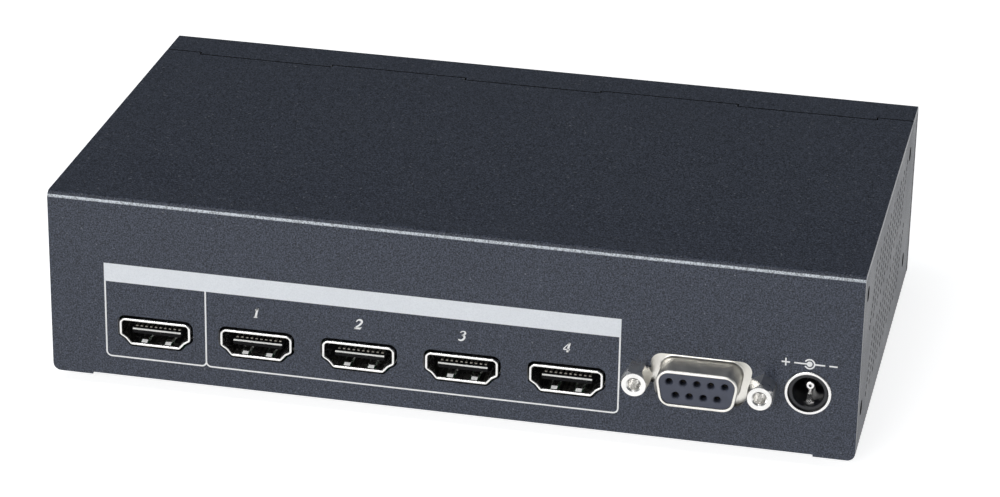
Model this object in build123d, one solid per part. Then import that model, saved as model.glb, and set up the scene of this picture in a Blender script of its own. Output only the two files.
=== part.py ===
from build123d import *
import os
from math import cos, radians, sin, sqrt, tan

# Desktop video splitter in a bent steel case. Millimetres, +Z up, +X to the right
# when facing the ports, +Y from the ports face into the depth of the case.
# Pieces are drawn in the case frame: x = 0 at the middle, y = 0 on the ports face,
# z = 0 under the case. They are moved so that the origin ends at the bottom centre
# of the whole part, below the feet.

# Case
case_width = 166.0
case_depth = 91.8
case_height = 40.0
sheet = 1.2
inner_fold = 0.15
cut_over = 1.0
contact_gap = 0.05

# Ports panel lower edge
panel_corner_radius = 1.6
left_tab = 8.5
right_tab = 8.4
panel_step = 0.45

# Seam between cover and bezel
lip_depth = 9.8
seam_step = 1.15
seam_gap = 0.4
seam_margin = 7.75
seam_segments = 5
lap_weld = 5.0
lap_reach = 6.0
lap_inset = 1.0

# Bezel and tray
bezel_corner_radius = 1.2
side_gap = 1.2
flange_depth = 12.5
flange_inset = 3.0

# Vent banks in the side walls
vent_radius = 0.6
vent_columns = 10
vent_rows = 10
vent_column_pitch = 5.84
vent_row_pitch = 1.21
vent_row_shift = 0.86
vent_start = 13.4
lower_bank_z = 8.4
upper_bank_z = 23.1

# Bracket holes in the side walls
bracket_hole_radius = 1.6
bracket_near = 6.0
bracket_spacing_y = 72.6
bracket_low_z = 9.05
bracket_spacing_z = 24.8

# Case screws and feet
screw_radius = 1.45
screw_head_radius = 3.0
screw_head_height = 1.3
screw_head_round = 0.6
screw_length = 3.9
screw_side = 28.0
screw_edge = 8.0
recess_arm = 1.5
recess_width = 0.5
recess_depth = 0.7
foot_radius = 6.0
foot_height = 2.5
foot_round = 0.8
foot_inset = 15.0

# Main board
board_side = 6.0
board_front = 2.4
board_back = 5.6
board_thick = 1.6
board_corner = 2.0
standoff_height = 5.0
standoff_flats = 5.0
standoff_stub_radius = 2.0
standoff_side = 5.0
standoff_near = 21.6
standoff_far = 11.4
board_screw_head_radius = 2.75
board_screw_head_height = 1.8
board_screw_length = 6.0

# Video sockets, one input and four outputs
socket_in_left = 22.16
socket_pitch = 21.36
output_count = 4
socket_width = 15.0
socket_height = 5.8
socket_straight = 3.7
socket_shoulder_in = 1.25
socket_shoulder_drop = 0.8
socket_floor_width = 10.3
socket_corner = 1.2
socket_bend = 0.75
socket_wall = 0.5
socket_rim_round = 0.2
socket_length = 11.5
socket_proud = 0.5
socket_seat = 0.1
socket_cut_gap = 0.5
tongue_width = 10.2
tongue_thick = 1.15
tongue_recess = 1.3
tongue_below_rim = 2.62
tongue_chamfer = 0.25
socket_core_length = 3.6
pin_pitch = 1.0
pin_width = 0.45
pin_thick = 0.2
pin_bevel = 0.12
pin_back = 1.1
pin_slot_gap = 0.1
upper_pins = 10
lower_pins = 9
upper_leg_step = 1.3
lower_leg_step = 0.4
pin_foot = 0.9
window_width = 1.9
window_start = 0.7
window_length = 3.8
window_x = 2.5
leaf_width = 1.25
leaf_thick = 0.2
leaf_rise = 0.5
leaf_peak = 1.5
leaf_tail_rise = 0.2
leaf_tail_gap = 0.3
socket_leg_width = 0.8
socket_leg_drop = 2.4
socket_leg_near = 3.2
socket_leg_far = 9.4

# Serial socket
serial_right = 31.35
serial_z = 14.1
serial_top_width = 17.3
serial_height = 7.9
serial_corner = 2.6
serial_lean = 10.0
serial_proud = 5.4
serial_wall = 0.6
serial_root_round = 0.4
serial_rim_round = 0.4
serial_mouth_round = 0.15
serial_face_recess = 0.3
serial_side_clear = 1.75
serial_edge_clear = 1.0
serial_cut_corner = 2.3
flange_width = 30.8
flange_height = 12.5
flange_thick = 0.8
flange_corner = 2.0
jack_spacing = 24.99
jack_slot_height = 3.2
serial_pitch = 2.77
serial_row_pitch = 2.84
serial_upper_count = 5
serial_lower_count = 4
serial_hole_radius = 0.66
serial_mouth_radius = 0.86
serial_mouth_depth = 0.25
serial_barrel_start = 1.8
serial_barrel_radius = 0.9
serial_barrel_length = 5.2
serial_wire_radius = 0.35
serial_upper_leg = 11.0
serial_lower_leg = 8.2
serial_leg_below = 1.4
serial_block_width = 19.0
serial_block_height = 10.6
serial_block_depth = 12.2
bracket_width = 4.6
bracket_foot = 8.5
bracket_thick = 0.8

# Hex jack screws
jack_flats = 5.0
jack_length = 5.5
jack_face_radius = 2.43
jack_chamfer = 1.0
jack_turns = (0.0, 30.0)
jack_bore_radius = 1.25
jack_bore_depth = 4.6
jack_mouth = 0.3
jack_shank_radius = 1.4
jack_shank_length = 5.0

# Power inlet
inlet_right = 10.0
inlet_z = 13.9
inlet_ring_radius = 4.65
inlet_ring_wall = 0.55
inlet_ring_proud = 0.3
inlet_ring_depth = 1.4
inlet_ring_round = 0.2
inlet_hole_gap = 0.05
inlet_nose_gap = 0.35
inlet_lip_radius = 3.8
inlet_lip_back = 0.25
inlet_groove_depth = 0.5
inlet_bore_radius = 3.15
inlet_bore_depth = 9.6
inlet_mouth = 0.12
inlet_width = 9.0
inlet_height = 11.0
inlet_length = 14.2
inlet_pin_radius = 0.95
inlet_pin_start = 3.25
inlet_pin_round = 0.3
inlet_pin_hole_radius = 0.3
inlet_pin_hole_depth = 3.0
inlet_leaf_width = 0.95
inlet_leaf_head = 2.0
inlet_leaf_head_length = 0.7
inlet_leaf_thick = 0.25
inlet_leaf_start = 2.1
inlet_leaf_slope = 2.1
inlet_leaf_rise = 1.6
inlet_leaf_end = 8.6
inlet_lug_width = 2.2
inlet_lug_thick = 0.6
inlet_lug_drop = 3.0

# Printed marks on the ports panel
ink = 0.05
line_width = 0.32
line_corner = 1.2
band_left = 11.55
band_right = 118.4
band_top = 25.5
band_bottom = 21.5
divider_x = 32.9
frame_bottom = 4.55
mark_z = 20.2
mark_line = 0.3
mark_sign = 1.65
mark_sign_offset = 4.7
mark_arm = 3.06
mark_ring = 1.13
mark_dot = 0.57
mark_opening = 60.0

# Status lights on the bezel
light_radius = 1.5
light_count = 6
light_pitch = 12.0
light_right = 19.0
light_height = 3.6
light_proud = 0.6
light_length = 5.2
light_dome = 1.35
light_flange = 0.4
light_flange_thick = 0.8
holder_width = 5.0
holder_height = 6.4
light_hole_gap = 0.1

# Electronics on the board
chip_size = 19.0
chip_height = 1.4
chip_x = -6.0
chip_y = 47.0
chip_edge = 0.4
sink_size = 27.0
sink_base = 2.5
sink_height = 12.0
fin_count = 9
fin_thick = 1.1
small_chip_size = 7.0
small_chip_height = 0.9
small_chip_y = 21.5
serial_chip_length = 10.3
soic_width = 3.9
soic_height = 1.5
soic_pitch = 1.27
lead_width = 0.42
lead_reach = 1.05
lead_thick = 0.2
lead_lift = 0.1
serial_chip_right = 26.0
serial_chip_y = 24.0
memory_chip_length = 4.9
memory_x = 18.0
memory_y = 62.0
regulator_width = 6.6
regulator_depth = 6.1
regulator_height = 2.3
regulator_right = 17.0
regulator_y = 38.0
tab_width = 5.3
tab_reach = 1.3
tab_thick = 0.5
inductor_size = 12.0
inductor_height = 6.5
inductor_corner = 2.5
inductor_right = 37.0
inductor_y = 40.0
can_radius = 4.0
can_height = 11.5
can_groove = 0.35
can_groove_z = 2.0
can_round = 0.6
can_right = 19.0
can_pitch = 10.5
can_y = 58.0
can_count = 3
crystal_length = 11.4
crystal_width = 4.7
crystal_height = 3.6
crystal_x = 14.0
crystal_y = 34.0
resistor_length = 1.6
resistor_width = 0.8
resistor_height = 0.5
resistor_pitch = 2.4
resistor_columns = 6
resistor_row_pitch = 2.6
resistor_rows = 2
resistor_y = 28.5

# Worked out from the sizes above
half_width = case_width / 2
outer_fold = inner_fold + sheet
board_half = half_width - board_side
board_far = case_depth - board_back
board_bottom = sheet + standoff_height
board_top = board_bottom + board_thick
socket_z = board_top + socket_seat + socket_height / 2
socket_half = socket_width / 2
socket_top = socket_height / 2
tongue_top = socket_top - tongue_below_rim
serial_x = half_width - serial_right
inlet_x = half_width - inlet_right
jack_corner = jack_flats / sqrt(3)
seam_y = case_depth - lip_depth
segment = (case_width - 2 * seam_margin) / seam_segments
front_reach = max(serial_proud, jack_length)
part_place = Location((0, (front_reach - case_depth - light_proud) / 2, foot_height))


def block(x0, x1, y0, y1, z0, z1):
    """A box between two corners."""
    middle = ((x0 + x1) / 2, (y0 + y1) / 2, (z0 + z1) / 2)
    return Pos(*middle) * Box(x1 - x0, y1 - y0, z1 - z0)


def rod_y(x, z, y0, y1, radius):
    """A round bar along Y from y0 to y1."""
    return Pos(x, (y0 + y1) / 2, z) * Rot(90, 0, 0) * Cylinder(radius, y1 - y0)


def rod_x(y, z, x0, x1, radius):
    """A round bar along X from x0 to x1."""
    return Pos((x0 + x1) / 2, y, z) * Rot(0, 90, 0) * Cylinder(radius, x1 - x0)


def rod_z(x, y, z0, z1, radius):
    """A round bar along Z from z0 to z1."""
    return Pos(x, y, (z0 + z1) / 2) * Cylinder(radius, z1 - z0)


def slab_y(outline, y0, y1):
    """A flat outline drawn in x and z, given its thickness from y0 to y1."""
    face = Plane.XZ * outline
    return Pos(0, y1, 0) * extrude(face, y1 - y0)


def hexagon(flats):
    """A hexagon of that width across its flats, corners left and right."""
    return RegularPolygon(flats / 2, 6, major_radius=False)


def cross_recess(x, y, z, depth):
    """The cross-shaped driver recess of a screw head, cut down from z."""
    arm = block(-recess_arm, recess_arm, -recess_width / 2, recess_width / 2, -depth, cut_over)
    other = Rot(0, 0, 90) * arm
    return Pos(x, y, z) * (arm + other)


def segment_span(index):
    """Left and right ends of one segment of the seam between cover and bezel."""
    left = -half_width + seam_margin + index * segment
    return left, left + segment


# Video socket: drawn with its rim at y = 0 and its middle at x = 0, z = 0

def socket_outline(grow):
    """The socket's outline, upright above and drawn in to a narrow floor, made larger by grow."""
    knee = socket_top - socket_straight
    half_floor = socket_floor_width / 2
    right = [(socket_half, socket_top), (socket_half, knee),
             (socket_half - socket_shoulder_in, knee - socket_shoulder_drop), (half_floor, -socket_top)]
    left = [(-x, z) for x, z in reversed(right)]
    shape = make_face(Polyline(*right, *left, close=True))
    upper = shape.vertices().sort_by(Axis.Y)[-2:]
    shape = fillet(upper, socket_corner)
    lower = [v for v in shape.vertices() if v.Y < knee + contact_gap]
    shape = fillet(lower, socket_bend)
    return offset(shape, grow) if grow else shape


def socket_leaf(x):
    """One spring leaf: fast near the mouth, rising into the socket and falling to its free end."""
    start = window_start - contact_gap
    peak = start + leaf_peak
    end = window_start + window_length - leaf_tail_gap
    top = -socket_top + socket_wall
    low = top - leaf_thick
    profile = Polyline((start, low), (peak, low + leaf_rise), (end, low + leaf_tail_rise),
                       (end, top + leaf_tail_rise), (peak, top + leaf_rise), (start, top), close=True)
    face = Plane.YZ * make_face(profile)
    return Pos(x - leaf_width / 2, 0, 0) * extrude(face, leaf_width)


def socket_shell():
    """The plated shell with a rounded rim and two spring windows in its floor."""
    shell = slab_y(socket_outline(0), 0, socket_length)
    shell -= slab_y(socket_outline(-socket_wall), -cut_over, socket_length + cut_over)
    rim = [e for e in shell.edges() if abs(e.center().Y) < contact_gap]
    shell = fillet(rim, socket_rim_round)
    end = window_start + window_length
    for x in (-window_x, window_x):
        left = x - window_width / 2
        right = x + window_width / 2
        shell -= block(left, right, window_start, end, -socket_top - cut_over,
                       -socket_top + socket_wall + contact_gap)
        shell += socket_leaf(x)
    for y in (socket_leg_near, socket_leg_far):
        for side in (-1, 1):
            outer = side * socket_half
            inner = outer - side * socket_wall
            low = -socket_top - socket_seat - socket_leg_drop
            knee = socket_top - socket_straight + socket_wall
            leg_end = y + socket_leg_width
            shell += block(min(outer, inner), max(outer, inner), y, leg_end, low, knee)
    return shell


def pin_row(count, y_leg, low_face):
    """One row of contacts: a strip along the tongue, a leg at the back and a foot."""
    start = tongue_recess + pin_back
    back = y_leg + pin_thick
    foot_end = y_leg + pin_foot
    foot_low = -socket_top - socket_seat
    foot_top = foot_low + pin_thick
    high_face = low_face + pin_thick
    profile = Polyline((start, high_face - pin_bevel), (start + pin_bevel, high_face),
                       (back, high_face), (back, foot_top), (foot_end, foot_top),
                       (foot_end, foot_low), (y_leg, foot_low), (y_leg, low_face),
                       (start, low_face), close=True)
    face = Plane.YZ * make_face(profile)
    first = -(count - 1) / 2 * pin_pitch - pin_width / 2
    return [Pos(first + i * pin_pitch, 0, 0) * extrude(face, pin_width) for i in range(count)]


def socket_contacts():
    """Ten contacts over nine, set half a pitch apart on the two sides of the tongue."""
    upper = pin_row(upper_pins, socket_length + upper_leg_step, tongue_top)
    lower = pin_row(lower_pins, socket_length + lower_leg_step, tongue_top - tongue_thick - pin_thick)
    return upper + lower


def socket_insulator():
    """The moulded tongue with the block that closes the shell, slotted for the contacts."""
    tongue = block(-tongue_width / 2, tongue_width / 2, tongue_recess, socket_length,
                   tongue_top - tongue_thick, tongue_top)
    front = tongue.edges().filter_by(Axis.X).sort_by(Axis.Y)[:2]
    tongue = chamfer(front, tongue_chamfer)
    core_start = socket_length - socket_core_length
    body = tongue + slab_y(socket_outline(-socket_wall - contact_gap), core_start, socket_length)
    half = upper_pins * pin_pitch / 2
    for low in (tongue_top, tongue_top - tongue_thick - pin_thick - pin_slot_gap):
        body -= block(-half, half, core_start - cut_over, socket_length + cut_over, low,
                      low + pin_thick + pin_slot_gap)
    return body


# Serial socket

def d_outline(grow_side, grow_edge, corner):
    """A rounded D: wide top, sides leaning in towards the bottom."""
    high = serial_height / 2 + grow_edge
    lean = tan(radians(serial_lean))
    top = serial_top_width / 2 + grow_side + grow_edge * lean
    low = top - 2 * high * lean
    shape = make_face(Polyline((-top, high), (top, high), (low, -high), (-low, -high), close=True))
    return fillet(shape.vertices(), corner)


def serial_places():
    """The nine contact places, five over four, seen from the front."""
    places = []
    for count, side in ((serial_upper_count, 1), (serial_lower_count, -1)):
        for i in range(count):
            x = serial_x + (i - (count - 1) / 2) * serial_pitch
            places.append((x, serial_z + side * serial_row_pitch / 2, side))
    return places


def serial_front():
    """Drawn shell and flange in one plated piece."""
    outer = slab_y(d_outline(0, 0, serial_corner), -serial_proud, sheet)
    plate = slab_y(RectangleRounded(flange_width, flange_height, flange_corner), sheet,
                   sheet + flange_thick)
    shape = outer + plate
    inside = serial_height / 2 + contact_gap
    root = [e for e in shape.edges() if abs(e.center().Y - sheet) < contact_gap
            and abs(e.center().X) < serial_top_width / 2 and abs(e.center().Z) < inside]
    shape = fillet(root, serial_root_round)
    rim = [e for e in shape.edges() if abs(e.center().Y + serial_proud) < contact_gap]
    shape = fillet(rim, serial_rim_round)
    hollow = d_outline(-serial_wall, -serial_wall, serial_corner - serial_wall)
    shape -= slab_y(hollow, -serial_proud - cut_over, sheet + flange_thick + cut_over)
    mouth = [e for e in shape.edges() if abs(e.center().Y + serial_proud) < contact_gap
             and abs(e.center().Z) < serial_height / 2 - serial_rim_round - contact_gap
             and abs(e.center().X) < serial_top_width / 2 - serial_rim_round - contact_gap]
    shape = fillet(mouth, serial_mouth_round)
    for side in (-1, 1):
        shape -= rod_y(side * jack_spacing / 2, 0, 0, sheet + flange_thick + cut_over,
                       jack_slot_height / 2)
    return Pos(serial_x, 0, serial_z) * shape


def serial_core():
    """The moulded insulator: a D-shaped plug in front, a block on the board behind."""
    back = sheet + flange_thick
    grow = -serial_wall - contact_gap
    front = -serial_proud + serial_face_recess
    plug = slab_y(d_outline(grow, grow, serial_corner - serial_wall), front, back)
    body = Pos(serial_x, 0, serial_z) * plug
    half = serial_block_width / 2
    body += block(serial_x - half, serial_x + half, back, back + serial_block_depth,
                  board_top, board_top + serial_block_height)
    for x, z, side in serial_places():
        body -= rod_y(x, z, front - cut_over, front + serial_barrel_start, serial_hole_radius)
        mouth = Pos(x, front + serial_mouth_depth / 2, z) * Rot(90, 0, 0)
        body -= mouth * Cone(serial_hole_radius, serial_mouth_radius, serial_mouth_depth)
        barrel_end = front + serial_barrel_start + serial_barrel_length
        body -= rod_y(x, z, front + serial_barrel_start, barrel_end, serial_barrel_radius)
        leg = serial_upper_leg if side > 0 else serial_lower_leg
        body -= rod_y(x, z, barrel_end, leg + serial_wire_radius, serial_wire_radius)
        body -= rod_z(x, leg, board_top - cut_over, z + serial_wire_radius, serial_wire_radius)
    return body


def serial_pins():
    """Nine contacts: a hollow barrel, a wire to the back and a leg through the board."""
    pins = []
    front = -serial_proud + serial_face_recess + serial_barrel_start
    barrel_end = front + serial_barrel_length
    for x, z, side in serial_places():
        leg = serial_upper_leg if side > 0 else serial_lower_leg
        pin = rod_y(x, z, front, barrel_end, serial_barrel_radius)
        pin -= rod_y(x, z, front - cut_over, barrel_end - serial_barrel_radius, serial_hole_radius)
        pin += rod_y(x, z, barrel_end - serial_wire_radius, leg, serial_wire_radius)
        pin += Pos(x, leg, z) * Sphere(serial_wire_radius)
        pin += rod_z(x, leg, board_bottom - serial_leg_below, z, serial_wire_radius)
        pins.append(pin)
    return pins


def serial_brackets():
    """Two angle brackets that take the jack screws and stand on the board."""
    brackets = []
    back = sheet + flange_thick
    for side in (-1, 1):
        x = serial_x + side * jack_spacing / 2
        left = x - bracket_width / 2
        right = x + bracket_width / 2
        top = serial_z + flange_height / 2
        upright = block(left, right, back, back + bracket_thick, board_top, top)
        foot = block(left, right, back, back + bracket_foot, board_top, board_top + bracket_thick)
        shape = upright + foot
        shape -= rod_y(x, serial_z, back - cut_over, back + bracket_thick + cut_over,
                       jack_shank_radius + contact_gap)
        brackets.append(shape)
    return brackets


def jack_screws():
    """Two hex spacers with a bevelled front, a threaded bore and a threaded shank."""
    screws = []
    bevel = Pos(0, -jack_length + jack_chamfer / 2, 0) * Rot(90, 0, 0)
    blank = bevel * Cone(jack_corner, jack_face_radius, jack_chamfer)
    blank += rod_y(0, 0, -jack_length + jack_chamfer, 0, jack_corner)
    mouth = Pos(0, -jack_length + jack_mouth / 2, 0) * Rot(90, 0, 0)
    for side, turn in zip((-1, 1), jack_turns):
        body = blank & slab_y(Rot(0, 0, turn) * hexagon(jack_flats), -jack_length, 0)
        body += rod_y(0, 0, 0, jack_shank_length, jack_shank_radius)
        body -= rod_y(0, 0, -jack_length - cut_over, -jack_length + jack_bore_depth, jack_bore_radius)
        body -= mouth * Cone(jack_bore_radius, jack_bore_radius + jack_mouth, jack_mouth)
        screws.append(Pos(serial_x + side * jack_spacing / 2, 0, serial_z) * body)
    return screws


# Power inlet

def inlet_ring():
    """The plated ring round the inlet's nose."""
    ring = rod_y(inlet_x, inlet_z, -inlet_ring_proud, inlet_ring_depth, inlet_ring_radius)
    rim = ring.edges().sort_by(Axis.Y)[0]
    ring = fillet(rim, inlet_ring_round)
    ring -= rod_y(inlet_x, inlet_z, -cut_over, inlet_ring_depth + cut_over,
                  inlet_ring_radius - inlet_ring_wall)
    return ring


def inlet_leaf_outline():
    """Side view of the spring leaf: low at the mouth, a steep rise, then level to the back."""
    low = inlet_z - inlet_bore_radius
    start = inlet_leaf_start
    knee = start + inlet_leaf_slope
    end = inlet_leaf_end
    high = low + inlet_leaf_rise
    thick = inlet_leaf_thick
    return make_face(Polyline((start, low), (knee, high), (end, high), (end, high + thick),
                              (knee, high + thick), (start, low + thick), close=True))


def inlet_spring():
    """The leaf contact in the bore, its T-shaped head and its lug to the board."""
    face = Plane.YZ * inlet_leaf_outline()
    left = inlet_x - inlet_leaf_width / 2
    right = inlet_x + inlet_leaf_width / 2
    leaf = Pos(left, 0, 0) * extrude(face, inlet_leaf_width)
    low = inlet_z - inlet_bore_radius
    head_end = inlet_leaf_start + inlet_leaf_head_length
    head = block(inlet_x - inlet_leaf_head / 2, inlet_x + inlet_leaf_head / 2, inlet_leaf_start,
                 head_end, low, low + inlet_leaf_thick)
    lug = block(left, right, inlet_leaf_end - inlet_lug_thick, inlet_leaf_end,
                board_bottom - inlet_lug_drop / 2, low + inlet_leaf_rise)
    return leaf + head + lug


def inlet_pin():
    """The hollow centre pin with a rounded rim, and its lug at the back."""
    back = inlet_length + inlet_lug_thick
    pin = rod_y(inlet_x, inlet_z, inlet_pin_start, inlet_length, inlet_pin_radius)
    tip = pin.edges().sort_by(Axis.Y)[0]
    pin = fillet(tip, inlet_pin_round)
    pin -= rod_y(inlet_x, inlet_z, inlet_pin_start - cut_over, inlet_pin_start + inlet_pin_hole_depth,
                 inlet_pin_hole_radius)
    lug = block(inlet_x - inlet_lug_width / 2, inlet_x + inlet_lug_width / 2, inlet_length, back,
                board_bottom - inlet_lug_drop / 2, inlet_z + inlet_pin_radius)
    return pin + lug


def inlet_body(spring, pin):
    """The moulded block with its round nose, bore and pin hole."""
    nose = inlet_ring_radius - inlet_ring_wall - contact_gap
    start = inlet_ring_depth + contact_gap
    half = inlet_width / 2
    body = block(inlet_x - half, inlet_x + half, start, inlet_length, board_top,
                 board_top + inlet_height)
    body += rod_y(inlet_x, inlet_z, inlet_nose_gap + inlet_groove_depth, start, nose)
    lip = rod_y(inlet_x, inlet_z, inlet_lip_back, start, inlet_lip_radius)
    body += lip
    body -= rod_y(inlet_x, inlet_z, -cut_over, inlet_bore_depth, inlet_bore_radius)
    mouth = Pos(inlet_x, inlet_lip_back + inlet_mouth / 2, inlet_z) * Rot(90, 0, 0)
    body -= mouth * Cone(inlet_bore_radius, inlet_bore_radius + inlet_mouth, inlet_mouth)
    body -= pin
    body -= spring
    return body


# Case

def cover_edge():
    """The cover's top sheet with its stepped far edge and the laps below it."""
    near_edge = seam_y - seam_step - seam_gap / 2
    far_edge = seam_y - seam_gap / 2
    top = case_height
    plate = block(-half_width, half_width, 0, near_edge, top - sheet, top)
    spans = [(-half_width, segment_span(0)[0] - seam_gap / 2)]
    for index in range(1, seam_segments, 2):
        left, right = segment_span(index)
        spans.append((left + seam_gap / 2, right - seam_gap / 2))
    spans.append((segment_span(seam_segments - 1)[1] + seam_gap / 2, half_width))
    for left, right in spans:
        plate += block(left, right, near_edge - lap_inset, far_edge, top - sheet, top)
    for index in range(0, seam_segments, 2):
        left, right = segment_span(index)
        plate += block(left + lap_inset, right - lap_inset, near_edge - lap_weld,
                       near_edge + lap_reach, top - 2 * sheet, top - sheet)
    return plate


def panel_openings():
    """All cut-outs of the ports panel as one set of cutting solids."""
    cuts = []
    outline = socket_outline(socket_cut_gap)
    for x in socket_places():
        cuts.append(Pos(x, 0, socket_z) * slab_y(outline, -cut_over, sheet + cut_over))
    d_cut = d_outline(serial_side_clear, serial_edge_clear, serial_cut_corner)
    cuts.append(Pos(serial_x, 0, serial_z) * slab_y(d_cut, -cut_over, sheet + cut_over))
    slot = SlotCenterToCenter(jack_spacing, jack_slot_height)
    cuts.append(Pos(serial_x, 0, serial_z) * slab_y(slot, -cut_over, sheet + cut_over))
    cuts.append(rod_y(inlet_x, inlet_z, -cut_over, sheet + cut_over,
                      inlet_ring_radius + inlet_hole_gap))
    return cuts


def socket_places():
    """The x places of the input socket and the outputs, from left to right."""
    return [socket_in_left - half_width + i * socket_pitch for i in range(output_count + 1)]


def foot_flange(y0, y1, half):
    """The inner flange that lies on the tray floor and takes two case screws."""
    flange = block(-half, half, y0, y1, sheet, 2 * sheet)
    for x, y in case_screw_places():
        if y0 < y < y1:
            flange -= rod_z(x, y, 0, 2 * sheet + cut_over, screw_radius + contact_gap)
    return flange


def top_cover():
    """Top and ports panel, folded from one sheet."""
    panel = block(-half_width, half_width, 0, sheet, 0, case_height)
    low_corners = panel.edges().filter_by(Axis.Y).sort_by(Axis.Z)[:2]
    panel = fillet(low_corners, panel_corner_radius)
    panel -= block(-half_width + left_tab, half_width - right_tab, -cut_over, sheet + cut_over,
                   -cut_over, panel_step)
    shape = panel + cover_edge()
    along = shape.edges().filter_by(Axis.X)
    fold = along.filter_by(lambda e: abs(e.center().Y) < contact_gap
                           and abs(e.center().Z - case_height) < contact_gap)
    shape = fillet(fold, outer_fold)
    inside = shape.edges().filter_by(Axis.X).filter_by(
        lambda e: abs(e.center().Y - sheet) < contact_gap
        and abs(e.center().Z - case_height + sheet) < contact_gap)
    shape = fillet(inside, inner_fold)
    shape += foot_flange(sheet, sheet + flange_depth, half_width - right_tab - flange_inset)
    for cut in panel_openings():
        shape -= cut
    return shape


def front_bezel():
    """The far end sheet with its top lip, laps and light holes."""
    half = half_width
    face = case_depth - sheet
    panel = block(-half, half, face, case_depth, 0, case_height)
    low_corners = panel.edges().filter_by(Axis.Y).sort_by(Axis.Z)[:2]
    panel = fillet(low_corners, bezel_corner_radius)
    top = case_height
    near_edge = seam_y + seam_gap / 2
    lip = block(-half, half, near_edge, case_depth, top - sheet, top)
    for index in range(0, seam_segments, 2):
        left, right = segment_span(index)
        lip += block(left + seam_gap / 2, right - seam_gap / 2, near_edge - seam_step,
                     near_edge + lap_inset, top - sheet, top)
    for index in range(1, seam_segments, 2):
        left, right = segment_span(index)
        lip += block(left + lap_inset, right - lap_inset, near_edge - lap_reach, case_depth - sheet,
                     top - 2 * sheet, top - sheet)
    shape = panel + lip
    fold = shape.edges().filter_by(Axis.X).filter_by(
        lambda e: abs(e.center().Y - case_depth) < contact_gap
        and abs(e.center().Z - top) < contact_gap)
    shape = fillet(fold, outer_fold)
    shape += foot_flange(face - flange_depth, face, half_width - right_tab - flange_inset)
    for x in light_places():
        shape -= rod_y(x, board_top + light_height, face - cut_over, case_depth + cut_over,
                       light_radius + light_hole_gap)
    return shape


def vent_cutters():
    """Round bars through both side walls: two leaning banks and four bracket holes."""
    cutters = []
    reach = half_width + cut_over
    for bank_z in (lower_bank_z, upper_bank_z):
        for row in range(vent_rows):
            for column in range(vent_columns):
                y = vent_start + column * vent_column_pitch + row * vent_row_shift
                cutters.append(rod_x(y, bank_z + row * vent_row_pitch, -reach, reach, vent_radius))
    for y in (bracket_near, bracket_near + bracket_spacing_y):
        for z in (bracket_low_z, bracket_low_z + bracket_spacing_z):
            cutters.append(rod_x(y, z, -reach, reach, bracket_hole_radius))
    return cutters


def base_tray():
    """Bottom and side walls, folded from one sheet."""
    near = sheet + inner_fold
    far = case_depth - sheet
    side_top = case_height - sheet
    outer = block(-half_width, half_width, near, far, 0, side_top)
    outer = fillet(outer.edges().filter_by(Axis.Y).sort_by(Axis.Z)[:2], outer_fold)
    inner_half = half_width - sheet
    inner = block(-inner_half, inner_half, near - cut_over, far + cut_over, sheet,
                  side_top + cut_over)
    inner = fillet(inner.edges().filter_by(Axis.Y).sort_by(Axis.Z)[:2], inner_fold)
    tray = outer - inner
    tray -= block(-half_width - cut_over, half_width + cut_over, far - side_gap, far + cut_over,
                  outer_fold, side_top + cut_over)
    for x, y in case_screw_places():
        tray -= rod_z(x, y, -cut_over, sheet + cut_over, screw_radius + contact_gap)
    for x, y in standoff_places():
        tray -= rod_z(x, y, -cut_over, sheet + cut_over, standoff_stub_radius + contact_gap)
    tray -= vent_cutters()
    return tray


def case_screw_places():
    """Two screws near the ports and two near the bezel."""
    x_screw = half_width - screw_side
    rows = (screw_edge, case_depth - screw_edge)
    return [(x, y) for x in (-x_screw, x_screw) for y in rows]


def standoff_places():
    """The four board supports."""
    x_post = board_half - standoff_side
    rows = (board_front + standoff_near, board_far - standoff_far)
    return [(x, y) for x in (-x_post, x_post) for y in rows]


def case_screws():
    """Low-headed screws, put in from below."""
    screws = []
    for x, y in case_screw_places():
        head = rod_z(x, y, -screw_head_height, 0, screw_head_radius)
        head = fillet(head.edges().sort_by(Axis.Z)[0], screw_head_round)
        head -= Pos(x, y, -screw_head_height) * (Rot(180, 0, 0) * cross_recess(0, 0, 0, recess_depth))
        screws.append(head + rod_z(x, y, 0, screw_length, screw_radius))
    return screws


def rubber_foot(x, y):
    """A round rubber foot, stuck under the tray."""
    foot = rod_z(x, y, -foot_height, 0, foot_radius)
    return fillet(foot.edges().sort_by(Axis.Z)[0], foot_round)


def foot_places():
    """The four feet."""
    x_foot = half_width - foot_inset
    rows = (foot_inset, case_depth - foot_inset)
    return [(x, y) for x in (-x_foot, x_foot) for y in rows]


# Board and what stands on it

def light_places():
    """The x places of the status lights."""
    return [half_width - light_right - i * light_pitch for i in range(light_count)]


def main_board(legs):
    """The circuit board with its screw holes and lead holes."""
    board = block(-board_half, board_half, board_front, board_far, board_bottom, board_top)
    board = fillet(board.edges().filter_by(Axis.Z), board_corner)
    for x, y in standoff_places():
        board -= rod_z(x, y, board_bottom - cut_over, board_top + cut_over, screw_radius + contact_gap)
    for leg in legs:
        board -= leg
    return board


def board_leg_holes():
    """The space that leads and lugs take through the board."""
    holes = []
    low = board_bottom - cut_over
    high = board_top + cut_over
    for x, z, side in serial_places():
        leg = serial_upper_leg if side > 0 else serial_lower_leg
        holes.append(rod_z(x, leg, low, high, serial_wire_radius))
    for width, end in ((inlet_leaf_width, inlet_leaf_end),
                       (inlet_lug_width, inlet_length + inlet_lug_thick)):
        holes.append(block(inlet_x - width / 2, inlet_x + width / 2, end - inlet_lug_thick, end,
                           low, high))
    for x in socket_places():
        for y in (socket_leg_near, socket_leg_far):
            for side in (-1, 1):
                outer = x + side * socket_half
                inner = outer - side * socket_wall
                start = y - socket_proud
                holes.append(block(min(outer, inner), max(outer, inner), start,
                                   start + socket_leg_width, low, high))
    return holes


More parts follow.
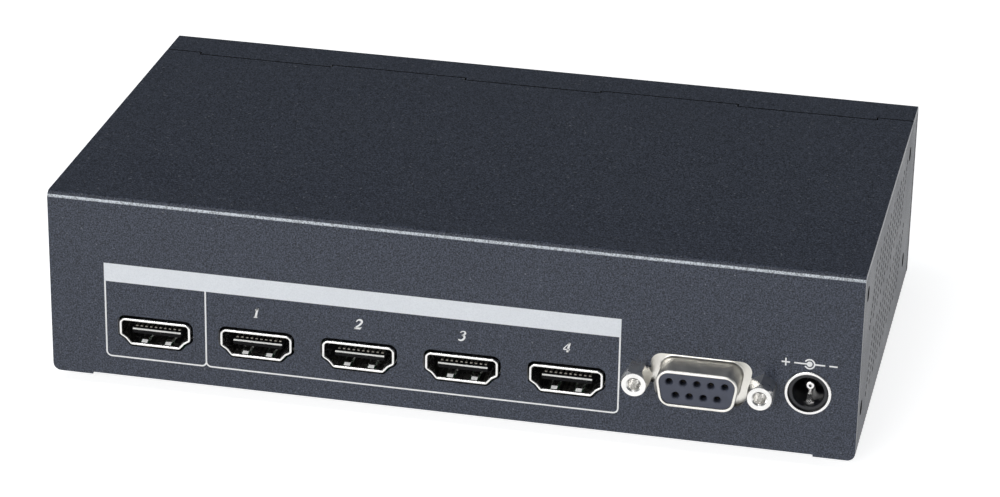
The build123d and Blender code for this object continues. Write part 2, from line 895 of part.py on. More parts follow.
def board_standoffs():
    """Hex spacers, pressed through the tray floor."""
    posts = []
    for x, y in standoff_places():
        post = Pos(x, y, sheet) * extrude(hexagon(standoff_flats), standoff_height)
        post += rod_z(x, y, 0, sheet, standoff_stub_radius)
        post -= rod_z(x, y, -cut_over, board_bottom + cut_over, screw_radius + contact_gap)
        posts.append(post)
    return posts


def board_screws():
    """Pan-headed screws through the board into the spacers."""
    screws = []
    for x, y in standoff_places():
        top = board_top + board_screw_head_height
        head = rod_z(x, y, board_top, top, board_screw_head_radius)
        head = fillet(head.edges().sort_by(Axis.Z)[-1], screw_head_round)
        head -= cross_recess(x, y, top, recess_depth)
        screws.append(head + rod_z(x, y, board_top - board_screw_length, board_top, screw_radius))
    return screws


def status_lights():
    """Round lights that reach through the bezel."""
    lights = []
    z = board_top + light_height
    tip = case_depth + light_proud
    for x in light_places():
        light = rod_y(x, z, tip - light_length, tip, light_radius)
        light = fillet(light.edges().sort_by(Axis.Y)[-1], light_dome)
        start = tip - light_length
        light += rod_y(x, z, start, start + light_flange_thick, light_radius + light_flange)
        lights.append(light)
    return lights


def light_holders():
    """The blocks that hold the lights square to the bezel."""
    holders = []
    front = case_depth + light_proud - light_length
    for x in light_places():
        left = x - holder_width / 2
        holders.append(block(left, left + holder_width, board_far - holder_height, front, board_top,
                             board_top + holder_height))
    return holders


def flat_chip(x, y, size, height):
    """A flat square chip with bevelled top edges."""
    chip = block(x - size / 2, x + size / 2, y - size / 2, y + size / 2, board_top,
                 board_top + height)
    return chamfer(chip.faces().sort_by(Axis.Z)[-1].edges(), chip_edge)


def heat_sink():
    """A finned aluminium block on the splitter chip."""
    half = sink_size / 2
    low = board_top + chip_height
    sink = block(chip_x - half, chip_x + half, chip_y - half, chip_y + half, low, low + sink_base)
    pitch = (sink_size - fin_thick) / (fin_count - 1)
    for i in range(fin_count):
        left = chip_x - half + i * pitch
        sink += block(left, left + fin_thick, chip_y - half, chip_y + half, low, low + sink_height)
    return sink


def leaded_chip(x, y, length):
    """A chip with a row of leads along both long sides."""
    body_low = board_top + lead_lift
    half = length / 2
    wide = soic_width / 2
    chip = block(x - half, x + half, y - wide, y + wide, body_low, board_top + soic_height)
    middle = (body_low + board_top + soic_height) / 2
    count = int(length // soic_pitch)
    for i in range(count):
        left = x + (i - (count - 1) / 2) * soic_pitch - lead_width / 2
        right = left + lead_width
        for side in (-1, 1):
            inner = y + side * wide
            outer = inner + side * lead_reach
            knee = inner + side * lead_reach / 2
            chip += block(left, right, min(inner, knee), max(inner, knee), middle,
                          middle + lead_thick)
            drop = knee - side * lead_thick
            chip += block(left, right, min(drop, knee), max(drop, knee), board_top,
                          middle + lead_thick)
            chip += block(left, right, min(drop, outer), max(drop, outer), board_top,
                          board_top + lead_thick)
    return chip


def regulator_chip():
    """A power regulator with a wide cooling tab."""
    half = regulator_width / 2
    deep = regulator_depth / 2
    x = board_half - regulator_right
    chip = block(x - half, x + half, regulator_y - deep, regulator_y + deep, board_top,
                 board_top + regulator_height)
    chip = chamfer(chip.faces().sort_by(Axis.Z)[-1].edges(), chip_edge)
    tab = tab_width / 2
    far = regulator_y + deep
    chip += block(x - tab, x + tab, far, far + tab_reach, board_top, board_top + tab_thick)
    near = regulator_y - deep
    for side in (-1, 1):
        left = x + side * half / 2 - lead_width
        chip += block(left, left + 2 * lead_width, near - lead_reach, near, board_top,
                      board_top + tab_thick)
    return chip


def power_inductor():
    """A shielded coil with a round cap on a square base."""
    half = inductor_size / 2
    x = board_half - inductor_right
    base = block(x - half, x + half, inductor_y - half, inductor_y + half, board_top,
                 board_top + inductor_height)
    base = fillet(base.edges().filter_by(Axis.Z), inductor_corner)
    return chamfer(base.faces().sort_by(Axis.Z)[-1].edges(), chip_edge)


def filter_capacitors():
    """Upright round cans with a rolled groove."""
    cans = []
    x = board_half - can_right
    for i in range(can_count):
        y = can_y + (i - (can_count - 1) / 2) * can_pitch
        can = rod_z(x, y, board_top, board_top + can_height, can_radius)
        can = fillet(can.edges().sort_by(Axis.Z)[-1], can_round)
        ring = rod_z(x, y, board_top + can_groove_z, board_top + can_groove_z + 2 * can_groove,
                     can_radius + can_groove)
        ring -= rod_z(x, y, board_top, board_top + can_height, can_radius - can_groove)
        cans.append(can - ring)
    return cans


def clock_crystal():
    """A low metal can with round ends."""
    can = extrude(SlotOverall(crystal_length, crystal_width), crystal_height)
    can = fillet(can.faces().sort_by(Axis.Z)[-1].edges(), chip_edge)
    return Pos(crystal_x, crystal_y, board_top) * can


def small_parts():
    """Rows of chip resistors behind each video socket."""
    parts = []
    for x in socket_places():
        for i in range(resistor_columns):
            for row in range(resistor_rows):
                left = x + (i - (resistor_columns - 1) / 2) * resistor_pitch - resistor_width / 2
                near = resistor_y + row * resistor_row_pitch
                parts.append(block(left, left + resistor_width, near, near + resistor_length,
                                   board_top, board_top + resistor_height))
    return parts


# Printed marks

def frame_path(left, right):
    """The bent line of one printed frame: down, along the bottom and up."""
    top = (band_top + band_bottom) / 2
    half = line_width / 2
    outer = make_face(Polyline((left - half, top), (right + half, top), (right + half, frame_bottom),
                               (left - half, frame_bottom), close=True))
    low = outer.vertices().sort_by(Axis.Y)[:2]
    outer = fillet(low, line_corner)
    inner = make_face(Polyline((left + half, top), (right - half, top),
                               (right - half, frame_bottom + line_width),
                               (left + half, frame_bottom + line_width), close=True))
    low = inner.vertices().sort_by(Axis.Y)[:2]
    inner = fillet(low, line_corner - line_width)
    return outer - inner


def panel_print():
    """Header band and frame lines in a thin layer of ink."""
    left = -half_width + band_left
    right = -half_width + band_right
    middle = -half_width + divider_x
    high = band_top - band_bottom
    band = Pos((left + right) / 2, band_bottom + high / 2) * Rectangle(right - left, high)
    half = line_width / 2
    marks = band + frame_path(left + half, middle) + frame_path(middle, right - half)
    return slab_y(marks, -ink, 0)


def polarity_mark():
    """Centre-positive mark: plus, dot in an open ring, minus."""
    x = inlet_x
    plus = Rectangle(mark_sign, mark_line) + Rectangle(mark_line, mark_sign)
    minus = Rectangle(mark_sign, mark_line)
    ring = Circle(mark_ring) - Circle(mark_ring - mark_line)
    wedge = mark_ring * 2
    spread = wedge * sin(radians(mark_opening / 2))
    reach = wedge * cos(radians(mark_opening / 2))
    opening = make_face(Polyline((0, 0), (-reach, spread), (-reach, -spread), close=True))
    ring -= opening
    left_arm = Pos(-mark_arm / 2) * Rectangle(mark_arm, mark_line)
    right_start = mark_ring - mark_line / 2
    right_arm = Pos((right_start + mark_arm) / 2) * Rectangle(mark_arm - right_start, mark_line)
    centre = Circle(mark_dot) + left_arm
    shapes = [Pos(-mark_sign_offset) * plus, Pos(mark_sign_offset) * minus, centre, ring + right_arm]
    return [Pos(x, 0, mark_z) * slab_y(shape, -ink, 0) for shape in shapes]


def write(node, shape):
    """Moves a piece, or a group of loose solids, to the part's frame and writes it."""
    if isinstance(shape, list):
        shape = Compound(children=[s.solid() for s in shape])
    export_step(part_place * shape, f"parts/{node}.step")


def main():
    """Builds every node."""
    os.makedirs("parts", exist_ok=True)
    write("top_cover", top_cover())
    write("base_tray", base_tray())
    write("front_bezel", front_bezel())
    write("case_screws", case_screws())
    for i, (x, y) in enumerate(foot_places(), 1):
        write(f"rubber_foot_{i}", rubber_foot(x, y))
    write("panel_print", panel_print())
    write("polarity_mark", polarity_mark())

    shell = socket_shell()
    pins = socket_contacts()
    core = socket_insulator()
    names = ["video_in"] + [f"video_out_{i + 1}" for i in range(output_count)]
    for name, x in zip(names, socket_places()):
        place = Pos(x, -socket_proud, socket_z)
        write(f"{name}_shell", place * shell)
        write(f"{name}_insulator", place * core)
        write(f"{name}_contacts", [place * pin for pin in pins])

    write("serial_shell", serial_front())
    write("serial_insulator", serial_core())
    write("serial_contacts", serial_pins())
    write("serial_brackets", serial_brackets())
    write("jack_screws", jack_screws())

    spring = inlet_spring()
    pin = inlet_pin()
    write("inlet_ring", inlet_ring())
    write("inlet_spring", spring)
    write("inlet_pin", pin)
    write("inlet_body", inlet_body(spring, pin))

    write("main_board", main_board(board_leg_holes()))
    write("board_standoffs", board_standoffs())
    write("board_screws", board_screws())
    write("status_lights", status_lights())
    write("light_holders", light_holders())
    write("splitter_chip", flat_chip(chip_x, chip_y, chip_size, chip_height))
    write("heat_sink", heat_sink())
    places = socket_places()
    write("input_equaliser_chip", flat_chip(places[0], small_chip_y, small_chip_size,
                                            small_chip_height))
    write("output_driver_chips", [flat_chip(x, small_chip_y, small_chip_size, small_chip_height)
                                  for x in places[1:]])
    write("serial_driver_chip", leaded_chip(board_half - serial_chip_right, serial_chip_y,
                                            serial_chip_length))
    write("memory_chip", leaded_chip(memory_x, memory_y, memory_chip_length))
    write("regulator_chip", regulator_chip())
    write("power_inductor", power_inductor())
    write("filter_capacitors", filter_capacitors())
    write("clock_crystal", clock_crystal())
    write("small_chip_parts", small_parts())


if __name__ == "__main__":
    main()
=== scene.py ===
import bpy
import math
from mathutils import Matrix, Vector


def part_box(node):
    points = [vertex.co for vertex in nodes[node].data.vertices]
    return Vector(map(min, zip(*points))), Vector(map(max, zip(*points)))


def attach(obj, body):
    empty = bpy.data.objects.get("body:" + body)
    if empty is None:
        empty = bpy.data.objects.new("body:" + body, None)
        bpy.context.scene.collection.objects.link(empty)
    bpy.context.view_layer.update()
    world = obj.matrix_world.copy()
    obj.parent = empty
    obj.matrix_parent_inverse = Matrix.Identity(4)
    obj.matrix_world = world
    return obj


# Looks of a desktop video splitter. Metres, +Z up, the ports face -Y.

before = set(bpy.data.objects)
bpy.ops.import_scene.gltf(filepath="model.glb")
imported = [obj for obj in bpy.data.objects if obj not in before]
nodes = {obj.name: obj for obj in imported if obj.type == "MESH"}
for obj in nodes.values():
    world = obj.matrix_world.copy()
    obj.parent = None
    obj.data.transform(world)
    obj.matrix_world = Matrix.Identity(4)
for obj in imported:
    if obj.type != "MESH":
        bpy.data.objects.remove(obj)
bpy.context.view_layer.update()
mm = 0.001


# Sizes of grain, clouds and relief

paint_grain_size = 0.30 * mm
paint_patch_size = 14 * mm
paint_speck_size = 0.62 * mm
paint_relief = 0.05 * mm
metal_grain_size = 0.6 * mm
metal_cloud_size = 2.5 * mm
metal_relief = 0.006 * mm
plastic_grain_size = 0.25 * mm
plastic_cloud_size = 3 * mm
plastic_relief = 0.01 * mm
ink_grain_size = 0.28 * mm
ink_cloud_size = 5 * mm
ink_relief = 0.02 * mm
dust_size = 1.5 * mm
rubber_grain_size = 0.2 * mm
rubber_relief = 0.02 * mm
track_pitch = 6 * mm
track_relief = 0.03 * mm
plated_hole_pitch = 2.6 * mm
lens_cloud_size = 0.8 * mm
lens_relief = 0.01 * mm
chip_grain_size = 0.12 * mm
chip_relief = 0.01 * mm


# Places where the looks change, and the ways that surfaces look there

soft_step = 0.1 * mm
# The painted highlight on the socket leaves ends at this depth.
highlight_end = -42.35 * mm
band_bottom = 24.0 * mm
middle_step = 1 * mm
below_top_full = 41.5 * mm
below_top_none = 41.9 * mm
side_none = 81.5 * mm
side_full = 81.7 * mm
forwards = (0, -1, 0)
upwards = (0, 0, 1)
# Normals on the fold that get a painted highlight.
fold_direction = (0, -0.92, 0.39)
# Normals on the socket leaves that get a painted highlight.
leaf_direction = (0, -0.316, 0.949)
# Normals on the tongues' chamfers that get a painted highlight.
tongue_direction = (0, -1, 1)


# Colours, and how far they and the gloss vary

white = (1.0, 1.0, 1.0)
paint_dark = (0.005, 0.008, 0.015)
paint_pale = (0.081, 0.094, 0.132)
paint_speck = (0.30, 0.31, 0.34)
# Painted highlight on the fold between top and ports.
fold_highlight_colour = (0.75, 0.80, 0.86)
# Lighter cut edges: bare edge, with a painted highlight.
bare_edge_and_highlight = (0.36, 0.37, 0.39)
# Painted shade inside the seam of the top and on the floors of the port cut-outs.
seam_shade_colour = (0.001, 0.001, 0.001)
# Painted shade on the walls of the side vents and on the side sheets' edges.
hole_shade_colour = (0.002, 0.002, 0.003)
# Painted highlight on the front slopes of the socket leaves.
highlight_metal_colour = (1.0, 1.0, 0.99)
# Painted highlight on the chamfers of the socket tongues.
highlight_plastic_colour = (1.0, 1.0, 0.97)
ink_dull = (0.80, 0.83, 0.87)
ink_bright = (0.93, 0.96, 1.0)
ink_cloud = (0.84, 0.87, 0.91)
rubber_black = (0.012, 0.012, 0.013)
rubber_dust = (0.045, 0.045, 0.047)
resist_dark = (0.012, 0.09, 0.035)
resist_light = (0.03, 0.16, 0.06)
hole_plating = (0.55, 0.45, 0.25)
lens_dark = (0.42, 0.55, 0.42)
lens_light = (0.55, 0.66, 0.53)
chip_dark = (0.014, 0.014, 0.016)
chip_light = (0.032, 0.032, 0.035)
metal_dull_share = 0.82
metal_gloss_spread = 1.5
plastic_deep_share = 0.8
plastic_gloss_spread = 1.25


# Material building blocks

def fresh_material(name):
    """A new node material with its tree and shader."""
    material = bpy.data.materials.new(name)
    material.use_nodes = True
    tree = material.node_tree
    return material, tree, tree.nodes["Principled BSDF"]


def node(tree, kind, **settings):
    """Adds one node; settings are its properties."""
    made = tree.nodes.new(kind)
    for key, value in settings.items():
        setattr(made, key, value)
    return made


def feed(tree, value, target):
    """Gives an input its value, which may be a number, a colour or a socket."""
    if isinstance(value, bpy.types.NodeSocket):
        tree.links.new(value, target)
    elif isinstance(value, tuple):
        target.default_value = (*value, 1)
    else:
        target.default_value = value


def fill(tree, made, values):
    """Feeds the named inputs of a node."""
    for name, value in values.items():
        feed(tree, value, made.inputs[name])


def object_place(tree):
    """Where a point lies in the object's own coordinates."""
    return node(tree, "ShaderNodeTexCoord").outputs["Object"]


def true_normal(tree):
    """Which way the surface looks, without its relief."""
    return node(tree, "ShaderNodeNewGeometry").outputs["True Normal"]


def along_axis(tree, vector, axis):
    """The part of a vector along one axis."""
    parts = node(tree, "ShaderNodeSeparateXYZ")
    feed(tree, vector, parts.inputs[0])
    return parts.outputs[axis]


def noise(tree, size, detail=2.0, rough=0.5):
    """Noise whose grains are about that size, in the object's own coordinates."""
    made = node(tree, "ShaderNodeTexNoise")
    fill(tree, made, {"Scale": 1 / size, "Detail": detail, "Roughness": rough,
                      "Vector": object_place(tree)})
    return made.outputs["Fac"]


def ramp(tree, value, low=0.3, high=0.7, start=0.0, end=1.0):
    """A number remapped from low..high to start..end, held at the ends.

    The usual low and high suit a noise."""
    made = node(tree, "ShaderNodeMapRange")
    fill(tree, made, {"Value": value, "From Min": low, "From Max": high,
                      "To Min": start, "To Max": end})
    return made.outputs["Result"]


def blend_colours(tree, amount, first, second):
    """A colour between two, where either may be a colour or a socket."""
    made = node(tree, "ShaderNodeMix", data_type="RGBA")
    feed(tree, amount, made.inputs["Factor"])
    for name, value in (("A", first), ("B", second)):
        target = [s for s in made.inputs if s.name == name and s.type == "RGBA"][0]
        feed(tree, value, target)
    return [s for s in made.outputs if s.type == "RGBA"][0]


def calculated(tree, operation, *values):
    """The result of one operation on numbers or sockets."""
    made = node(tree, "ShaderNodeMath", operation=operation)
    for value, target in zip(values, made.inputs):
        feed(tree, value, target)
    return made.outputs[0]


def product(tree, first, second):
    """Two numbers multiplied."""
    return calculated(tree, "MULTIPLY", first, second)


def larger(tree, first, second):
    """The larger of two numbers."""
    return calculated(tree, "MAXIMUM", first, second)


def bump(tree, shader, height, distance, strength):
    """Relief of that depth on the shader's surface."""
    made = node(tree, "ShaderNodeBump")
    fill(tree, made, {"Distance": distance, "Strength": strength, "Height": height})
    feed(tree, made.outputs["Normal"], shader.inputs["Normal"])


def facing(tree, direction, low=0.8, high=0.9):
    """One where the surface looks that way, zero elsewhere; low and high are cosines."""
    along = node(tree, "ShaderNodeVectorMath", operation="DOT_PRODUCT")
    along.inputs[1].default_value = Vector(direction).normalized()
    feed(tree, true_normal(tree), along.inputs[0])
    return ramp(tree, along.outputs["Value"], low, high)


def breadth(tree, vector, low, high):
    """How large the sideways part of a vector is, from zero at low to one at high."""
    size = calculated(tree, "ABSOLUTE", along_axis(tree, vector, "X"))
    return ramp(tree, size, low, high)


def darker(colour, share):
    """A colour brought down to that share of its brightness."""
    return tuple(c * share for c in colour)


# Masks, which pick out surfaces of the painted sheets

def paint_grain(tree):
    """The fine grain of the paint."""
    return noise(tree, paint_grain_size, 1.0, 0.6)


def fold_highlight(tree):
    """Up to 0.9 on the lower part of the fold between top and ports, spotted by the grain: where
    the painted highlight goes.
    """
    spots = ramp(tree, paint_grain(tree), 0.3, 0.6, 0.3, 0.9)
    return product(tree, facing(tree, fold_direction, 0.97, 0.985), spots)


def seam_depths(tree):
    """One inside the seam of the top, zero on the outer faces; painted shade goes there.

    It picks the faces behind the middle that look forwards, and those below the top that
    look upwards, which also takes in some hidden faces and the floors of the port cut-outs."""
    place = object_place(tree)
    behind = ramp(tree, along_axis(tree, place, "Y"), 0, middle_step)
    below = ramp(tree, along_axis(tree, place, "Z"), below_top_full, below_top_none, 1.0, 0.0)
    edge = product(tree, facing(tree, forwards), behind)
    lap = product(tree, facing(tree, upwards), below)
    return larger(tree, edge, lap)


def cut_edges(tree):
    """One on faces that look sideways: the cut edges over the sides, and the walls of cut-outs,
    which get a lighter colour: bare edge, with a painted highlight.
    """
    return breadth(tree, true_normal(tree), 0.8, 0.9)


def hole_walls(tree):
    """One on the walls of the openings in the sides and on the side sheets' own edges, where
    painted shade goes.
    """
    wall = breadth(tree, true_normal(tree), 0.6, 0.4)
    side = breadth(tree, object_place(tree), side_none, side_full)
    return product(tree, wall, side)


# Materials

def powder_paint(name, masks, strength=0.6):
    """Dark blue-grey powder paint: fine grain, small light specks, uneven gloss.

    Each mask lays its colour on the surfaces that it picks out."""
    material, tree, shader = fresh_material(name)
    grain = paint_grain(tree)
    patches = noise(tree, paint_patch_size, 3.0)
    specks = noise(tree, paint_speck_size, 1.0)
    tint = blend_colours(tree, ramp(tree, grain, 0.34, 0.70), paint_dark, paint_pale)
    tint = blend_colours(tree, ramp(tree, specks, 0.69, 0.79, 0.0, 0.5), tint, paint_speck)
    for mask, colour in masks:
        tint = blend_colours(tree, mask(tree), tint, colour)
    fill(tree, shader, {"Base Color": tint,
                        "Roughness": ramp(tree, patches, start=0.40, end=0.48),
                        "Specular IOR Level": 0.4})
    bump(tree, shader, grain, paint_relief, strength)
    return material


def plated_metal(name, colour, roughness, highlight_facing=None):
    """Plated sheet or turned metal with faint clouds in its gloss.

    Near the ports face, surfaces that look the given way get a painted highlight: pale, rough and
    not metallic."""
    material, tree, shader = fresh_material(name)
    clouds = noise(tree, metal_cloud_size, 3.0)
    grain = noise(tree, metal_grain_size, 4.0, 0.6)
    tint = blend_colours(tree, ramp(tree, clouds), darker(colour, metal_dull_share), colour)
    spread = ramp(tree, clouds, start=roughness, end=roughness * metal_gloss_spread)
    metallic = 1.0
    # Painted highlight on the surfaces that look the given way near the ports face.
    if highlight_facing:
        depth = along_axis(tree, object_place(tree), "Y")
        tip = ramp(tree, depth, highlight_end - soft_step, highlight_end, 1.0, 0.0)
        facing_highlight = product(tree, facing(tree, highlight_facing, 0.985, 0.995), tip)
        tint = blend_colours(tree, facing_highlight, tint, highlight_metal_colour)
        spread = larger(tree, spread, ramp(tree, facing_highlight, 0.0, 1.0, 0.0, 0.8))
        metallic = ramp(tree, facing_highlight, 0.0, 1.0, 1.0, 0.0)
    fill(tree, shader, {"Base Color": tint, "Roughness": spread, "Metallic": metallic})
    bump(tree, shader, grain, metal_relief, 0.5)
    return material


def moulded_plastic(name, colour, roughness, highlight_facing=None, gloss=0.5):
    """Moulded plastic with a fine spark-eroded grain, and a painted highlight where it looks the
    given way.
    """
    material, tree, shader = fresh_material(name)
    grain = noise(tree, plastic_grain_size)
    clouds = noise(tree, plastic_cloud_size)
    tint = blend_colours(tree, ramp(tree, clouds), darker(colour, plastic_deep_share), colour)
    # Painted highlight on the surfaces that look the given way.
    if highlight_facing:
        tint = blend_colours(tree, facing(tree, highlight_facing, 0.96, 0.99), tint, highlight_plastic_colour)
    spread = ramp(tree, grain, start=roughness, end=roughness * plastic_gloss_spread)
    fill(tree, shader, {"Base Color": tint, "Roughness": spread, "Specular IOR Level": gloss})
    bump(tree, shader, grain, plastic_relief, 0.4)
    return material


def screen_ink():
    """Off-white screen ink with a fine grain, fuller on the lines below the band."""
    material, tree, shader = fresh_material("screen_ink")
    grain = noise(tree, ink_grain_size, 3.0, 0.7)
    clouds = noise(tree, ink_cloud_size)
    height = along_axis(tree, object_place(tree), "Z")
    line = ramp(tree, height, band_bottom - soft_step, band_bottom, 1.0, 0.0)
    tint = blend_colours(tree, ramp(tree, grain, 0.25, 0.6), ink_dull, ink_bright)
    tint = blend_colours(tree, ramp(tree, clouds, end=0.35), tint, ink_cloud)
    tint = blend_colours(tree, line, tint, white)
    fill(tree, shader, {"Base Color": tint, "Roughness": 0.55})
    bump(tree, shader, grain, ink_relief, 0.3)
    return material


def foot_rubber():
    """Black rubber with a dusty face that shows slight wear."""
    material, tree, shader = fresh_material("foot_rubber")
    dust = noise(tree, dust_size, 5.0, 0.65)
    grain = noise(tree, rubber_grain_size)
    tint = blend_colours(tree, ramp(tree, dust, 0.45, 0.7), rubber_black, rubber_dust)
    fill(tree, shader, {"Base Color": tint, "Roughness": 0.85})
    bump(tree, shader, grain, rubber_relief, 0.5)
    return material


def board_laminate():
    """Green solder resist over copper tracks, with small plated holes."""
    material, tree, shader = fresh_material("board_laminate")
    place = object_place(tree)
    cells = node(tree, "ShaderNodeTexBrick")
    fill(tree, cells, {"Scale": 1 / track_pitch, "Mortar Size": 0.03, "Vector": place})
    holes = node(tree, "ShaderNodeTexVoronoi")
    fill(tree, holes, {"Scale": 1 / plated_hole_pitch, "Vector": place})
    track = ramp(tree, cells.outputs["Fac"], 0.2, 0.8)
    dot = ramp(tree, holes.outputs["Distance"], 0.10, 0.13, 1.0, 0.0)
    tint = blend_colours(tree, track, resist_dark, resist_light)
    tint = blend_colours(tree, dot, tint, hole_plating)
    fill(tree, shader, {"Base Color": tint, "Roughness": 0.3})
    bump(tree, shader, track, track_relief, 0.5)
    return material


def light_lens():
    """Milky lens of a status light."""
    material, tree, shader = fresh_material("light_lens")
    clouds = noise(tree, lens_cloud_size)
    tint = blend_colours(tree, clouds, lens_dark, lens_light)
    fill(tree, shader, {"Base Color": tint, "Roughness": 0.18, "Transmission Weight": 0.35})
    bump(tree, shader, clouds, lens_relief, 0.3)
    return material


def chip_moulding():
    """Dull, finely grained moulding of a chip."""
    material, tree, shader = fresh_material("chip_moulding")
    grain = noise(tree, chip_grain_size, 3.0)
    tint = blend_colours(tree, ramp(tree, grain), chip_dark, chip_light)
    fill(tree, shader, {"Base Color": tint, "Roughness": 0.6})
    bump(tree, shader, grain, chip_relief, 0.5)
    return material


# New objects

def placed_object(name, data):
    """A new object with that data, linked to the scene."""
    made = bpy.data.objects.new(name, data)
    bpy.context.scene.collection.objects.link(made)
    return made


def flat_object(name, corners, faces, material):
    """A new object of flat faces with one material."""
    mesh = bpy.data.meshes.new(name)
    mesh.from_pydata(corners, [], faces)
    mesh.materials.append(material)
    return placed_object(name, mesh)


# Printed numbers, whose strokes are shares of their height

digit_height = 2.08 * mm
digit_z = 20.48 * mm
digit_ink = 0.05 * mm
digit_slant = 0.22
digit_middle = 0.5
digit_steps = 6
heavy = 0.21
light = 0.10
crossbar = light * 1.3
digit_stroke_shares = {
    "1": [([(-0.14, 0.80), (0.0, 0.86), (0.08, 1.0)], (light, heavy)),
          ([(0.06, 1.0), (0.06, 0.5), (0.06, 0.03)], (heavy, heavy)),
          ([(-0.12, 0.02), (0.06, 0.02), (0.24, 0.02)], (light, light))],
    "2": [([(-0.26, 0.74), (-0.16, 0.93), (0.04, 0.99), (0.24, 0.88), (0.26, 0.68),
            (0.08, 0.40), (-0.16, 0.20), (-0.30, 0.05)], (light, heavy, heavy, light)),
          ([(-0.30, 0.06), (0.0, 0.07), (0.30, 0.06)], (heavy, heavy)),
          ([(0.27, 0.04), (0.31, 0.14), (0.33, 0.22)], (light, light))],
    "3": [([(-0.24, 0.82), (-0.10, 0.97), (0.12, 0.97), (0.24, 0.80), (0.12, 0.62),
            (-0.06, 0.55)], (light, light, heavy, light)),
          ([(-0.06, 0.55), (0.16, 0.52), (0.26, 0.34), (0.16, 0.10), (-0.08, 0.01),
            (-0.28, 0.10)], (light, heavy, heavy, light))],
    "4": [([(0.14, 1.0), (-0.10, 0.66), (-0.32, 0.32)], (light, light)),
          ([(-0.32, 0.29), (0.0, 0.29), (0.34, 0.29)], (crossbar, crossbar)),
          ([(0.14, 1.0), (0.14, 0.5), (0.14, 0.0)], (heavy, heavy))],
}


def smooth_line(points, steps):
    """Points along a curve that passes through the given ones."""
    line = []
    last = len(points) - 1
    for i in range(last):
        before, start = Vector(points[max(i - 1, 0)]), Vector(points[i])
        end, after = Vector(points[i + 1]), Vector(points[min(i + 2, last)])
        for k in range(steps):
            t = k / steps
            line.append(0.5 * (2 * start + (end - before) * t
                               + (2 * before - 5 * start + 4 * end - after) * t ** 2
                               + (3 * start - before - 3 * end + after) * t ** 3))
    line.append(Vector(points[last]))
    return line


def ribbon(vertices, faces, line, widths):
    """Adds a flat ribbon along a line, whose width runs through the given values."""
    first = len(vertices)
    last = len(line) - 1
    for i, point in enumerate(line):
        ahead = (line[min(i + 1, last)] - line[max(i - 1, 0)]).normalized()
        side = Vector((-ahead.y, ahead.x))
        spot = i / last * (len(widths) - 1)
        k = min(int(spot), len(widths) - 2)
        half = (widths[k] + (widths[k + 1] - widths[k]) * (spot - k)) / 2
        vertices.append(point + side * half)
        vertices.append(point - side * half)
    for i in range(last):
        a = first + 2 * i
        faces.append((a, a + 1, a + 3, a + 2))


def printed_digit(name, strokes, x, y, z, material):
    """One slanted number as a thin layer of ink on the ports face."""
    flat = []
    faces = []
    for points, widths in strokes:
        ribbon(flat, faces, smooth_line(points, digit_steps), widths)
    corners = []
    for p in flat:
        up = p.y - digit_middle
        leaned = p.x + up * digit_slant
        corners.append((x + leaned * digit_height, y, z + up * digit_height))
    made = flat_object(name, corners, faces, material)
    body = made.modifiers.new("ink", "SOLIDIFY")
    body.thickness = digit_ink
    body.offset = 0
    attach(made, "root")


# Materials on the pieces

def give(names, material):
    """Puts one material on the named pieces."""
    for name in names:
        mesh = nodes[name].data
        mesh.materials.clear()
        mesh.materials.append(material)


# The sheet paint carries a painted highlight on the fold, lighter cut edges with a painted
# highlight, and painted shade in the seam.
sheet_paint = powder_paint("sheet_paint", [(fold_highlight, fold_highlight_colour), (cut_edges, bare_edge_and_highlight),
                                           (seam_depths, seam_shade_colour)])
# The wall paint carries painted shade in the side vents.
wall_paint = powder_paint("wall_paint", [(hole_walls, hole_shade_colour)], strength=1.0)
# The socket plating carries a painted highlight on its leaves.
socket_plating = plated_metal("socket_plating", (0.88, 0.87, 0.85), 0.20, highlight_facing=leaf_direction)
shell_plating = plated_metal("shell_plating", (0.86, 0.85, 0.84), 0.20)
screw_plating = plated_metal("screw_plating", (0.90, 0.89, 0.87), 0.24)
contact_plating = plated_metal("contact_plating", (0.50, 0.47, 0.42), 0.30)
serial_plating = plated_metal("serial_plating", (0.86, 0.84, 0.79), 0.30)
brass = plated_metal("brass", (0.70, 0.52, 0.24), 0.30)
aluminium = plated_metal("aluminium", (0.72, 0.72, 0.73), 0.35)
black_screw = plated_metal("black_screw", (0.10, 0.10, 0.11), 0.35)
# The tongue plastic carries a painted highlight on its chamfer.
tongue_plastic = moulded_plastic("tongue_plastic", (0.008, 0.008, 0.009), 0.6,
                                 highlight_facing=tongue_direction, gloss=0.12)
black_plastic = moulded_plastic("black_plastic", (0.007, 0.008, 0.012), 0.30)
grey_plastic = moulded_plastic("grey_plastic", (0.064, 0.072, 0.104), 0.42)
coil_case = moulded_plastic("coil_case", (0.09, 0.09, 0.095), 0.55)
ceramic = moulded_plastic("ceramic", (0.30, 0.22, 0.14), 0.45)
ink = screen_ink()

output_numbers = "1234"
sockets = ["video_in"] + [f"video_out_{number}" for number in output_numbers]
give(["top_cover", "front_bezel"], sheet_paint)
give(["base_tray"], wall_paint)
give(["case_screws"], black_screw)
give([f"rubber_foot_{i}" for i in range(1, 5)], foot_rubber())
give(["panel_print", "polarity_mark"], ink)
give([f"{s}_shell" for s in sockets], socket_plating)
give([f"{s}_insulator" for s in sockets], tongue_plastic)
give([f"{s}_contacts" for s in sockets] + ["serial_contacts"], contact_plating)
give(["serial_shell"], serial_plating)
give(["serial_brackets", "inlet_ring", "inlet_spring", "inlet_pin"], shell_plating)
give(["serial_insulator"], grey_plastic)
give(["jack_screws", "board_screws"], screw_plating)
give(["inlet_body", "light_holders"], black_plastic)
give(["main_board"], board_laminate())
give(["board_standoffs"], brass)
give(["status_lights"], light_lens())
give(["splitter_chip", "input_equaliser_chip", "output_driver_chips", "serial_driver_chip",
      "memory_chip", "regulator_chip"], chip_moulding())
give(["heat_sink", "filter_capacitors", "clock_crystal"], aluminium)
give(["power_inductor"], coil_case)
give(["small_chip_parts"], ceramic)


# Numbers over the outputs

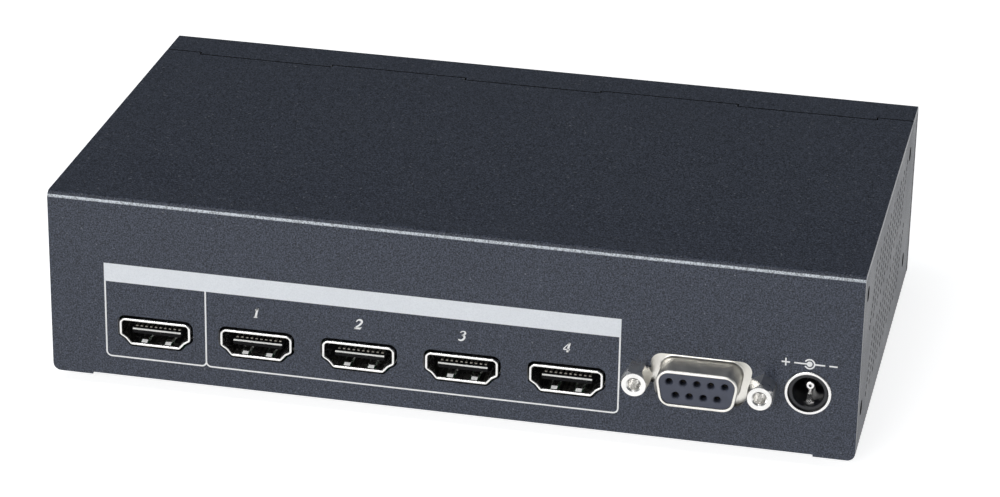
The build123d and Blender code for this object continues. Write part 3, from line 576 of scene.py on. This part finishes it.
print_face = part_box("panel_print")[1].y
for number in output_numbers:
    low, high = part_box(f"video_out_{number}_shell")
    printed_digit(f"number_{number}", digit_stroke_shares[number], (low.x + high.x) / 2,
                  print_face, digit_z, ink)


# Floor

floor_half = 6.0
floor_colour = (0.80, 0.80, 0.80)
floor_glow = 0.8


def floor_material():
    """Pale floor that shows white to the camera and in reflections, and keeps the shadow."""
    material, tree, shader = fresh_material("pale_floor")
    path = node(tree, "ShaderNodeLightPath")
    seen = larger(tree, path.outputs["Is Camera Ray"], path.outputs["Is Glossy Ray"])
    seen = larger(tree, seen, path.outputs["Is Transmission Ray"])
    fill(tree, shader, {"Base Color": floor_colour, "Roughness": 0.9,
                        "Specular IOR Level": 0.1, "Emission Color": white,
                        "Emission Strength": product(tree, seen, floor_glow)})
    return material


floor_corners = [(-floor_half, -floor_half, 0), (floor_half, -floor_half, 0),
                 (floor_half, floor_half, 0), (-floor_half, floor_half, 0)]
floor = flat_object("floor", floor_corners, [(0, 1, 2, 3)], floor_material())


# Light: each lamp's place, width, height and watts

lamp_aim = (0, 0, 0.02)
lamps = {
    "front_lamp": ((-0.55, -1.5, 0.55), 1.0, 0.7, 13.3),
    "side_lamp": ((1.5, 0.1, 0.6), 0.8, 0.6, 2.0),
    "top_lamp": ((-0.3, -0.42, 1.45), 1.0, 0.3, 5),
}
sky_colour = (0.9, 0.95, 1.0)
sky_strength = 0.16


def area_lamp(name, place, width, height, watts):
    """A soft rectangular lamp turned towards the part."""
    data = bpy.data.lights.new(name, "AREA")
    data.shape = "RECTANGLE"
    data.size = width
    data.size_y = height
    data.energy = watts
    lamp = placed_object(name, data)
    lamp.location = place
    towards = Vector(lamp_aim) - Vector(place)
    lamp.rotation_euler = towards.to_track_quat("-Z", "Y").to_euler()


for name, settings in lamps.items():
    area_lamp(name, *settings)

world = bpy.data.worlds.new("studio")
world.use_nodes = True
bpy.context.scene.world = world
fill(world.node_tree, world.node_tree.nodes["Background"],
     {"Color": sky_colour, "Strength": sky_strength})

bpy.context.scene.view_settings.view_transform = "Standard"


# Camera

sensor_width = 36
focal_length = 128.263
nearest_seen = 0.01
farthest_seen = 50
camera_place = (0.14309, -0.66877, 0.32999)
camera_degrees = (65.6279, -0.967, 12.398)

data = bpy.data.cameras.new("camera")
data.sensor_width = sensor_width
data.lens = focal_length
data.clip_start = nearest_seen
data.clip_end = farthest_seen
camera = placed_object("camera", data)
camera.location = camera_place
camera.rotation_euler = [math.radians(a) for a in camera_degrees]
bpy.context.scene.camera = camera
